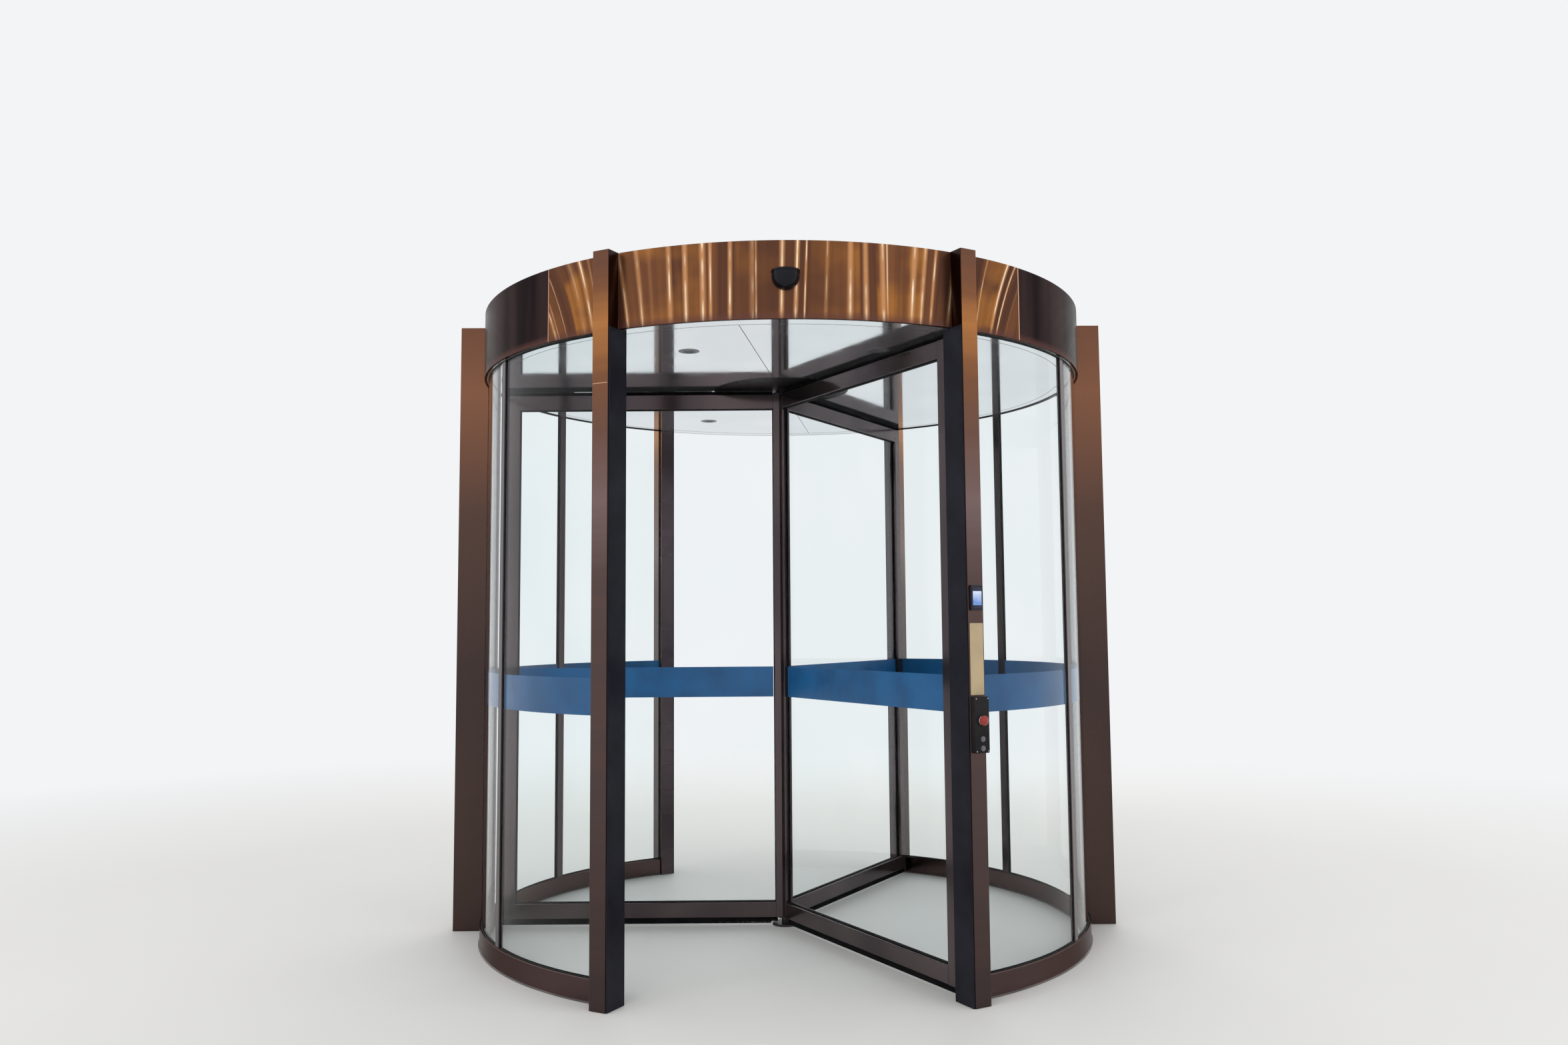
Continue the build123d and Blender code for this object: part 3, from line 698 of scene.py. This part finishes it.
# What each CAD node is finished in, by a part of its name
nodeFinishes = {
    "base_rail": "bronzeRail", "post_": "copperPost", "reveals": "blackReveal", "wall_jamb": "bronzeJamb",
    "mullions": "bronzeSteel", "glass": "clearGlass", "head_ring": "mirrorSteel", "fascia": "copperFascia",
    "ceiling_panel": "mirrorSteel", "hub_plate": "blackSatin", "downlights": "lampMetal",
    "roof": "greyMetal", "drive_unit": "greyMetal", "floor_pivot": "darkSteel", "sensor_dome": "smokedDome",
    "display_panel": "blackGloss", "label_plate": "creamPlate", "control_box": "blackSatin",
    "key_switches": "lampMetal", "emergency_button": "redPlastic", "centre_column": "bronzeSteel",
    "stile": "bronzeSteel", "rails": "bronzeSteel", "seals": "blackBristle",
}
for name, node in nodes.items():
    finish = next(nodeFinishes[part] for part in nodeFinishes if part in name)
    node.material_slots[0].material = finishes[finish]
print("the frame's nodes are dressed")


# Rubber lips where the glass enters rails, head and uprights
lip = {"width": 0.0045, "height": 0.004, "taper": 0.0025, "gap": 0.0002, "steps": 24, "ease": 0.0008}


def liteSpans(side):
    # where each curved lite starts and how far it goes round, between posts and mullions
    count = drum["liteCount"]
    step = wallSweep / count
    widths = [drum["postWidth"], *[drum["mullionWidth"]] * (count - 1), drum["postWidth"]]
    insets = [asin(width / 2 / drum["glassInner"]) for width in widths]
    for lite in range(count):
        begin = wallStarts[side] + lite * step + insets[lite]
        end = wallStarts[side] + (lite + 1) * step - insets[lite + 1]
        yield begin, end - begin


def lipOutline(face, away, base, rise):
    near = face + away * lip["gap"]
    far = near + away * lip["width"]
    top = base + rise * lip["height"]
    return [(near, base), (far, base), (far - away * lip["taper"], top), (near, top)]


def makeWallLips(side):
    strips = []
    tall = drum["headHeight"] - drum["railTop"] - 2 * lip["height"]
    middle = (drum["headHeight"] + drum["railTop"]) / 2
    for begin, sweep in liteSpans(side):
        for face, away in ((drum["glassInner"], -1), (drum["glassOuter"], 1)):
            for base, rise in ((drum["railTop"], 1), (drum["headHeight"], -1)):
                outline = lipOutline(face, away, base, rise)
                strips.append(spinOutline(outline, begin, sweep, lip["steps"]))
            for edge, inward in ((begin, 1), (begin + sweep, -1)):
                radius = face + away * (lip["gap"] + lip["height"] / 2)
                angle = edge + inward * lip["width"] / 2 / radius
                size = (lip["height"], lip["width"], tall)
                strips.append(cutBlock(size, spotAt(angle, radius, middle), angle))
    lips = easeEdges(joinAll(strips), lip["ease"])
    finishPiece(lips, f"wallGlassLips_{side}", "blackRubber")


def makeWingLips():
    low = rotor["bottom"] + rotor["railHeight"]
    high = rotor["top"] - rotor["railHeight"]
    start, end = rotor["armReach"], rotor["stileInner"]
    flat = (end - start, lip["height"], lip["width"])
    upright = (lip["width"], lip["height"], high - low - 2 * lip["width"])
    strips = []
    for side in (-1, 1):
        depth = side * (rotor["glassFace"] + lip["gap"] + lip["height"] / 2)
        for height in (low + lip["width"] / 2, high - lip["width"] / 2):
            strips.append(cutBlock(flat, ((start + end) / 2, depth, height)))
        for along in (start + lip["width"] / 2, end - lip["width"] / 2):
            strips.append(cutBlock(upright, (along, depth, (low + high) / 2)))
    makeForWings("wingGlassLips", "blackRubber", strips, lip["ease"])


for side in wallStarts:
    makeWallLips(side)
makeWingLips()
print("rubber lips line the glass")


# Blue bands at hand height, bare, on the curved lites and on both faces of each wing's glass
band = {"low": 1.139, "high": 1.292, "thickness": 0.0004, "gap": 0.0003, "steps": 48, "margin": 0.002}


def makeWallBand(side):
    films = []
    outer = drum["glassInner"] - band["gap"]
    inner = outer - band["thickness"]
    inset = (band["margin"] + lip["width"]) / inner
    for begin, sweep in liteSpans(side):
        outline = boxOutline(inner, outer, band["low"], band["high"])
        films.append(spinOutline(outline, begin + inset, sweep - 2 * inset, band["steps"]))
    finishPiece(joinAll(films), f"wallBand_{side}", "blueFilm")


def makeWingBands():
    start = rotor["armReach"] + lip["width"] + band["margin"]
    length = rotor["stileInner"] - lip["width"] - band["margin"] - start
    size = (length, band["thickness"], band["high"] - band["low"])
    films = []
    for side in (-1, 1):
        depth = side * (rotor["glassFace"] + band["gap"] + band["thickness"] / 2)
        films.append(cutBlock(size, (start + length / 2, depth, (band["low"] + band["high"]) / 2)))
    makeForWings("wingBand", "blueFilm", films)


for side in wallStarts:
    makeWallBand(side)
makeWingBands()
print("bands are on the glass")


# Brush seals in place of the plain strips: cores with tufts of uneven tips along each wing's free edges
brush = {
    "thickness": 0.010, "core": 0.006, "coreShare": 0.75, "tipScale": (0.95, 0.9, 1), "tuftWidth": 0.0048,
    "pitch": 0.005, "root": 0.006, "sideReach": 0.024, "raggedness": 0.0003, "seed": 7,
    "footStart": 0.071, "pinStart": 0.0375, "pinReach": 0.0245,
}
# how high the head row's tips stand, as far as each radius: lower under the hub plate and the downlights
brushHead = ((0.365, 2.7232), (0.970, 2.7242), (1.084, 2.7232), (rotor["stileInner"], 2.7242))


def makeTuftRow(length, reach, root):
    # a row along +X that grows towards +Z, with its root end at z 0
    count = int(length / brush["pitch"])
    along = brush["pitch"] / 2
    tuft = cutBlock((brush["tuftWidth"], brush["thickness"], reach), (along, 0, reach / 2))
    holdTop(tuft)
    bpy.ops.transform.resize(value=brush["tipScale"], center_override=(along, 0, reach))
    closeMesh()
    row = tuft.modifiers.new("row", "ARRAY")
    row.count = count
    row.use_relative_offset = False
    row.use_constant_offset = True
    row.constant_offset_displace = (length / count, 0, 0)
    bpy.ops.object.modifier_apply(modifier=row.name)
    holdTop(tuft)
    bpy.ops.transform.vertex_random(offset=brush["raggedness"], uniform=1.0, seed=brush["seed"])
    closeMesh()
    coreHeight = root + (reach - root) * brush["coreShare"]
    core = cutBlock((length, brush["core"], coreHeight), (length / 2, 0, coreHeight / 2))
    return joinAll([tuft, core])


def makeWingBrushes():
    low, high = rotor["bottom"], rotor["top"]
    inner, outer = rotor["stileInner"], rotor["stileOuter"] + brush["sideReach"]
    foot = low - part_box("wing_1_seals")[0].z
    root, footStart, pinStart = brush["root"], brush["footStart"], brush["pinStart"]
    # each row: its length, reach and depth of root, where it starts, and its turn about Y
    plans = [
        (high - low, brush["sideReach"] + root, root, (rotor["stileOuter"] - root, 0, high), pi / 2),
        (outer - inner, brushHead[-1][1] - high, 0, (inner, 0, high), 0),
        (inner - footStart, foot + root, root, (inner, 0, low + root), pi),
        (outer - inner, foot, 0, (outer, 0, low), pi),
        (footStart - pinStart, brush["pinReach"] + root, root, (footStart, 0, low + root), pi),
    ]
    start = rotor["armReach"]
    for end, tip in brushHead:
        plans.append((end - start, tip - high + root, root, (start, 0, high - root), 0))
        start = end
    rows = []
    for length, reach, rootDepth, place, turn in plans:
        row = makeTuftRow(length, reach, rootDepth)
        row.matrix_world = Matrix.Translation(place) @ Matrix.Rotation(turn, 4, "Y")
        rows.append(settle(row))
    makeForWings("wingBrushes", "blackBristle", rows, replaced="seals")


makeWingBrushes()
print("brush seals are planted")


# Wing trim: holders along the brush, and caps on the ends of the stile, one each side of the brush
wingTrim = {
    "holderWidth": 0.004, "holderDepth": 0.0025, "holderEase": 0.0008, "brushGap": 0.0006,
    "capHeight": 0.002, "capInset": 0.0008, "capEase": 0.0007,
}


def makeWingTrim():
    strips = []
    caps = []
    low, high = rotor["bottom"], rotor["top"]
    inner, outer = rotor["stileInner"] + wingTrim["capInset"], rotor["stileOuter"] - wingTrim["capInset"]
    near = brush["thickness"] / 2 + wingTrim["brushGap"]
    far = rotor["thickness"] / 2 - wingTrim["capInset"]
    width, depth = wingTrim["holderWidth"], wingTrim["holderDepth"]
    for side in (-1, 1):
        centre = (rotor["stileOuter"] + depth / 2, side * (near + width / 2), (high + low) / 2)
        strips.append(cutBlock((depth, width, high - low), centre))
        for end, lift in ((high, 0.5), (low, -0.5)):
            centre = ((inner + outer) / 2, side * (near + far) / 2, end + lift * wingTrim["capHeight"])
            caps.append(cutBlock((outer - inner, far - near, wingTrim["capHeight"]), centre))
    makeForWings("brushHolders", "bronzeSteel", strips, wingTrim["holderEase"])
    makeForWings("stileCaps", "blackSatin", caps, wingTrim["capEase"])


makeWingTrim()
print("wing trim is on")


# Rotor bearings: a thrust washer round the pin and a collar round the shaft
bearing = {
    "washerInner": 0.0186, "washerOuter": 0.036, "washerHeight": 0.004, "washerEase": 0.0008,
    "collarInner": 0.0256, "collarOuter": 0.046, "collarHeight": 0.010, "collarSlope": 0.004,
    "collarEase": 0.001,
}


def collarOutline(sizes, base):
    # a ring whose upper outer edge is cut off at 45 degrees
    inner, outer, slope = sizes["collarInner"], sizes["collarOuter"], sizes["collarSlope"]
    top = base + sizes["collarHeight"]
    return [(inner, base), (outer, base), (outer, top - slope), (outer - slope, top), (inner, top)]


def makeBearingTrim():
    low, high = rotor["bottom"], rotor["top"]
    outline = boxOutline(bearing["washerInner"], bearing["washerOuter"], low - bearing["washerHeight"], low)
    washer = easeEdges(spinOutline(outline), bearing["washerEase"])
    finishPiece(washer, "pinWasher", "darkSteel", "rotor")
    collar = easeEdges(spinOutline(collarOutline(bearing, high)), bearing["collarEase"])
    finishPiece(collar, "shaftCollar", "blackGloss", "rotor")


makeBearingTrim()
print("bearing trim is in")


# Socket-head screws, all with the same proportions
screwShape = {"sides": 24, "border": 0.5, "depth": 0.6, "ease": 0.18}


def placeScrews(name, sizes, places, finish="brightSteel"):
    radius, height = sizes["screwRadius"], sizes["screwHeight"]
    screw = cutDisc(radius, height, screwShape["sides"])
    sinkTop(screw, radius * screwShape["border"], height * screwShape["depth"])
    easeEdges(screw, height * screwShape["ease"], 1)
    finishPiece(copyAll(screw, places), name, finish)


# Ceiling: a joint line through the panel, its edge gasket, the hub plate's rim and screws
ceiling = {
    "jointAngle": radians(-97.7), "jointWidth": 0.003, "jointDepth": 0.0004,
    "rimWidth": 0.006, "rimDepth": 0.0012, "rimSlope": 0.001, "rimSteps": 128,
    "screwCircle": 0.322, "screwCount": 12, "screwRadius": 0.005, "screwHeight": 0.0004,
    "gasketHalf": 0.0012, "gasketDepth": 0.0004, "gasketSteps": 192,
}


def makeCeilingTrim():
    low = drum["headHeight"]
    inner, outer = drum["hubPlateRadius"], drum["hubPlateRadius"] + ceiling["rimWidth"]
    edge, half = drum["ringInner"], ceiling["gasketHalf"]
    joints = cutRays(
        (ceiling["jointAngle"], ceiling["jointAngle"] + pi), (outer, edge - half),
        (low - ceiling["jointDepth"], low), ceiling["jointWidth"])
    finishPiece(joints, "ceilingJoints", "clearSealant")
    outline = boxOutline(edge - half, edge + half, low - ceiling["gasketDepth"], low)
    gasket = spinOutline(outline, steps=ceiling["gasketSteps"])
    finishPiece(gasket, "ceilingEdgeGasket", "clearSealant")
    foot = low - ceiling["rimDepth"]
    outline = [(inner, foot), (outer - ceiling["rimSlope"], foot), (outer, low), (inner, low)]
    rim = spinOutline(outline, steps=ceiling["rimSteps"])
    finishPiece(rim, "hubPlateRim", "blackGloss")
    places = [hangingAt(angle, ceiling["screwCircle"], drum["hubPlateLow"])
              for angle in evenAngles(ceiling["screwCount"])]
    placeScrews("hubPlateScrews", ceiling, places, "blackGloss")


makeCeilingTrim()
print("ceiling trim is in")


# Downlights: a frosted lens in a dished reflector
downlight = {
    "circle": 1.027, "spread": radians(24.4), "recess": 0.006, "seat": 0.0002, "joint": 0.0004,
    "lensRadius": 0.0235, "lensThickness": 0.0025, "lensBorder": 0.003, "lensDish": 0.0006,
    "lensEase": 0.0003, "bowlRadius": 0.0314, "bowlDepth": 0.0052, "bowlLip": 0.0012,
}


def makeDownlights():
    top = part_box("downlights")[0].z + downlight["recess"]
    outer, throat = downlight["bowlRadius"], downlight["lensRadius"] + downlight["joint"]
    bowl = spinOutline([
        (outer, downlight["seat"]), (outer, downlight["bowlDepth"]),
        (outer - downlight["bowlLip"], downlight["bowlDepth"]), (throat, downlight["lensThickness"] / 2),
        (throat, downlight["seat"])])
    lens = cutDisc(downlight["lensRadius"], downlight["lensThickness"])
    sinkTop(lens, downlight["lensBorder"], downlight["lensDish"])
    easeEdges(lens, downlight["lensEase"])
    places = [hangingAt(angle, downlight["circle"], top) for angle in besideEntrances(downlight["spread"])]
    finishPiece(copyAll(bowl, places), "downlightBowls", "lampMetal")
    finishPiece(copyAll(lens, places), "downlightLenses", "frostedLens")


makeDownlights()
print("downlights have their lenses")


# Canopy: upright covers where two fascia sheets meet, and a joint line on every other post, both in pale
# copper as painted highlights
canopy = {
    "coverWidth": 0.006, "coverDepth": 0.0015, "coverInset": 0.0025, "coverEase": 0.0006,
    "lineHeight": 0.003, "lineDepth": 0.0005, "lineInset": 0.004,
}


def makeCanopyTrim():
    inset, half = canopy["coverInset"], canopy["lineHeight"] / 2
    covers = cutRays(
        besideEntrances(pi / 2 - copper["sheetEnd"]),
        (drum["fasciaRadius"], drum["fasciaRadius"] + canopy["coverDepth"]),
        (drum["headHeight"] + inset, drum["top"] - inset), canopy["coverWidth"])
    easeEdges(covers, canopy["coverEase"])
    finishPiece(covers, "fasciaJointCovers", "copperEdgeHighlight")
    middle = copper["jointHeight"]
    lines = cutRays(
        besideEntrances(openingHalf)[::2], (drum["postOuter"], drum["postOuter"] + canopy["lineDepth"]),
        (middle - half, middle + half), drum["postWidth"] - 2 * canopy["lineInset"])
    finishPiece(lines, "postJointLines", "copperEdgeHighlight")


makeCanopyTrim()
print("canopy trim is on")


# Roof: a hatch over the drive, standing seams and a ring of screws, all lower than the fascia's edge
roof = {
    "hatchSize": (0.62, 0.46), "hatchThickness": 0.0025, "hatchBorder": 0.018, "hatchDish": 0.0008,
    "hatchEase": 0.0004, "hatchScrewInset": 0.010,
    "seamWidth": 0.02, "seamHeight": 0.003, "seamCount": 8, "seamReach": (0.40, 1.455), "seamEase": 0.001,
    "screwCircle": 1.466, "screwCount": 36, "screwRadius": 0.006, "screwHeight": 0.003,
}


def makeRoofTrim():
    top, lid = drum["roofTop"], drum["roofTop"] + roof["hatchThickness"]
    width, depth = roof["hatchSize"]
    hatch = cutBlock((width, depth, roof["hatchThickness"]), (0, 0, (top + lid) / 2))
    sinkTop(hatch, roof["hatchBorder"], roof["hatchDish"])
    finishPiece(easeEdges(hatch, roof["hatchEase"]), "roofHatch", "greyMetal")
    heights = (top, top + roof["seamHeight"])
    seams = cutRays(evenAngles(roof["seamCount"]), roof["seamReach"], heights, roof["seamWidth"])
    finishPiece(easeEdges(seams, roof["seamEase"]), "roofSeams", "greyMetal")
    places = [standingAt(angle, roof["screwCircle"], top) for angle in evenAngles(roof["screwCount"])]
    for across in (-0.5, 0.5):
        for along in (-0.5, 0, 0.5):
            x = along * (width - 2 * roof["hatchScrewInset"])
            y = across * (depth - 2 * roof["hatchScrewInset"])
            places.append(standingAt(atan2(y, x), hypot(x, y), lid))
    placeScrews("roofScrews", roof, places)


makeRoofTrim()
print("roof trim is on")


# Sensor domes: a thin ring under each rim
dome = {"radius": 0.057, "rimHeight": 0.008, "ringHeight": 0.0012, "ringInset": 0.002, "ringProud": 0.0008}


def makeDomeRings():
    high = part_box("sensor_dome_front")[1].z - dome["rimHeight"]
    inner, outer = dome["radius"] - dome["ringInset"], dome["radius"] + dome["ringProud"]
    outline = boxOutline(inner, outer, high - dome["ringHeight"], high)
    rings = []
    for facing in facings:
        ring = spinOutline(outline, facing - pi / 2, pi)
        ring.location = spotAt(facing, drum["fasciaRadius"], 0)
        rings.append(settle(ring))
    finishPiece(joinAll(rings), "domeRings", "blackSatin")


makeDomeRings()
print("domes have their rings")


# Floor line: a sealant bead along both edges of the base rails
bead = {"width": 0.005, "height": 0.005, "sag": 0.45, "endGap": 0.001, "steps": 96}


def makeFloorBeads():
    beads = []
    for start in wallStarts.values():
        inset = asin(drum["postWidth"] / 2 / drum["railInner"]) + bead["endGap"]
        for face, away in ((drum["railOuter"], 1), (drum["railInner"], -1)):
            far, sag = face + away * bead["width"], face + away * bead["width"] * bead["sag"]
            outline = [(face, 0.0), (far, 0.0), (sag, bead["height"] * bead["sag"]), (face, bead["height"])]
            beads.append(spinOutline(outline, start + inset, wallSweep - 2 * inset, bead["steps"]))
    finishPiece(joinAll(beads), "floorBeads", "clearSealant")


makeFloorBeads()
print("floor beads are laid")


# Controls on the right lobby post: screen glass, screws, and a collar under the button
controls = {
    "screenSize": (0.0436, 0.0856), "screenThickness": 0.0008, "screenFront": 0.011, "screenEase": 0.0003,
    "boxFront": 0.028, "boxScrews": ((0.029, 0.104), (-0.029, 0.104), (0.029, -0.104), (-0.029, -0.104)),
    "screwRadius": 0.0028, "screwHeight": 0.0012, "labelFront": 0.002, "labelScrews": (0.137, -0.137),
    "collarInner": 0.0125, "collarOuter": 0.0175, "collarHeight": 0.003, "collarSlope": 0.0015,
    "buttonHeight": 0.129,
}


def facePlace(node, front, across=0.0, up=0.0):
    low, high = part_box(node)
    return facingOut(drum["controlAngle"], drum["postOuter"] + front, (low.z + high.z) / 2 + up, across)


def makeControls():
    thickness = controls["screenThickness"]
    screen = cutBlock((*controls["screenSize"], thickness), (0, 0, thickness / 2))
    easeEdges(screen, controls["screenEase"])
    screen.matrix_world = facePlace("display_panel", controls["screenFront"])
    finishPiece(settle(screen), "displayScreen", "litScreen")
    collar = spinOutline(collarOutline(controls, 0))
    collar.matrix_world = facingOut(
        drum["controlAngle"], drum["postOuter"] + controls["boxFront"],
        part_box("control_box")[0].z + controls["buttonHeight"])
    finishPiece(settle(collar), "buttonCollar", "brightSteel")
    places = [facePlace("control_box", controls["boxFront"], *spot) for spot in controls["boxScrews"]]
    placeScrews("controlBoxScrews", controls, places)
    places = [facePlace("label_plate", controls["labelFront"], 0, up) for up in controls["labelScrews"]]
    placeScrews("labelScrews", controls, places)


makeControls()
print("controls are fitted")


# Stage: a pale floor that fades into the backdrop, soft lamps and the photo's camera
photoView = {
    "place": (-0.0831, -6.2959, 1.5022), "yaw": 0.0145, "pitch": 0.0842, "roll": -0.0076,
    "focalPixels": 1826.8, "photoWidth": 2352,
}
studio = {
    "floorSize": 80, "floorDrop": 0.0015, "floorTone": (222, 221, 218), "fadeStart": 4.0, "fadeEnd": 9.0,
    "backdropTone": (243, 244, 246), "skyStrength": 0.75, "aim": (0, 0, 1.4),
    "lamps": {
        "keyLamp": {"place": (-6.5, -11.0, 7.5), "size": 12.0, "watts": 850},
        "fillLamp": {"place": (9.0, -6.5, 5.0), "size": 8.0, "watts": 300},
        "rearLamp": {"place": (3.0, 12.0, 7.5), "size": 11.0, "watts": 650},
    },
}


def setCamera():
    yaw, pitch, roll = photoView["yaw"], photoView["pitch"], photoView["roll"]
    forward = Vector((sin(yaw) * cos(pitch), cos(yaw) * cos(pitch), sin(pitch)))
    level = Vector((cos(yaw), -sin(yaw), 0))
    upright = level.cross(forward)
    right = level * cos(roll) + upright * sin(roll)
    up = upright * cos(roll) - level * sin(roll)
    bpy.ops.object.camera_add(location=photoView["place"])
    camera = bpy.context.object
    camera.rotation_euler = Matrix((right, up, -forward)).transposed().to_euler()
    camera.data.sensor_fit = "HORIZONTAL"
    camera.data.lens = camera.data.sensor_width * photoView["focalPixels"] / photoView["photoWidth"]
    scene.camera = camera


def setLamps():
    for name, lamp in studio["lamps"].items():
        place = Vector(lamp["place"])
        bpy.ops.object.light_add(type="AREA", location=place)
        light = bpy.context.object
        light.name = name
        light.rotation_euler = (Vector(studio["aim"]) - place).to_track_quat("-Z", "Y").to_euler()
        light.data.size = lamp["size"]
        light.data.energy = lamp["watts"]
        light.visible_camera = light.visible_transmission = light.visible_glossy = False


def addSeenRays(tree):
    # rays from the camera, from mirrors and through glass
    path = addNode(tree, "ShaderNodeLightPath").outputs
    seen = addMath(tree, "MAXIMUM", path["Is Camera Ray"], path["Is Glossy Ray"])
    return addMath(tree, "MAXIMUM", seen, path["Is Transmission Ray"])


def setWorld():
    # those rays see the pale backdrop; the rest is soft light
    world = bpy.data.worlds.new("studio")
    world.use_nodes = True
    scene.world = world
    tree = world.node_tree
    soft = fill(tree.nodes["Background"], {"Color": (1, 1, 1, 1), "Strength": studio["skyStrength"]})
    values = {"Color": paint(*studio["backdropTone"]), "Strength": 1.0}
    joinShaders(tree, addSeenRays(tree), soft, addNode(tree, "ShaderNodeBackground", values), "World Output")


def makeFloorPaint():
    tree, shader = startMaterial("floorPaint", {"Roughness": 0.6})
    place = objectPlace(tree)
    drift = addRange(tree, addNoise(tree, place, 0.6, 3.0), 0.3, 0.7, 0, 0.05)
    fill(shader, {"Base Color": addMix(tree, drift, paint(*studio["floorTone"]), (0.9, 0.9, 0.9, 1))})
    distance = addNode(tree, "ShaderNodeVectorMath", {0: place}, operation="LENGTH").outputs["Value"]
    far = addRange(tree, distance, studio["fadeStart"], studio["fadeEnd"])
    glow = addNode(tree, "ShaderNodeEmission", {"Color": paint(*studio["backdropTone"]), "Strength": 1.0})
    joinShaders(tree, addProduct(tree, far, addSeenRays(tree)), shader, glow)


setWorld()
setLamps()
setCamera()
bpy.ops.mesh.primitive_plane_add(size=studio["floorSize"], location=(0, 0, -studio["floorDrop"]))
floor = bpy.context.object
floor.name = "floor"
makeFloorPaint()
floor.data.materials.append(finishes["floorPaint"])
print("stage is set")
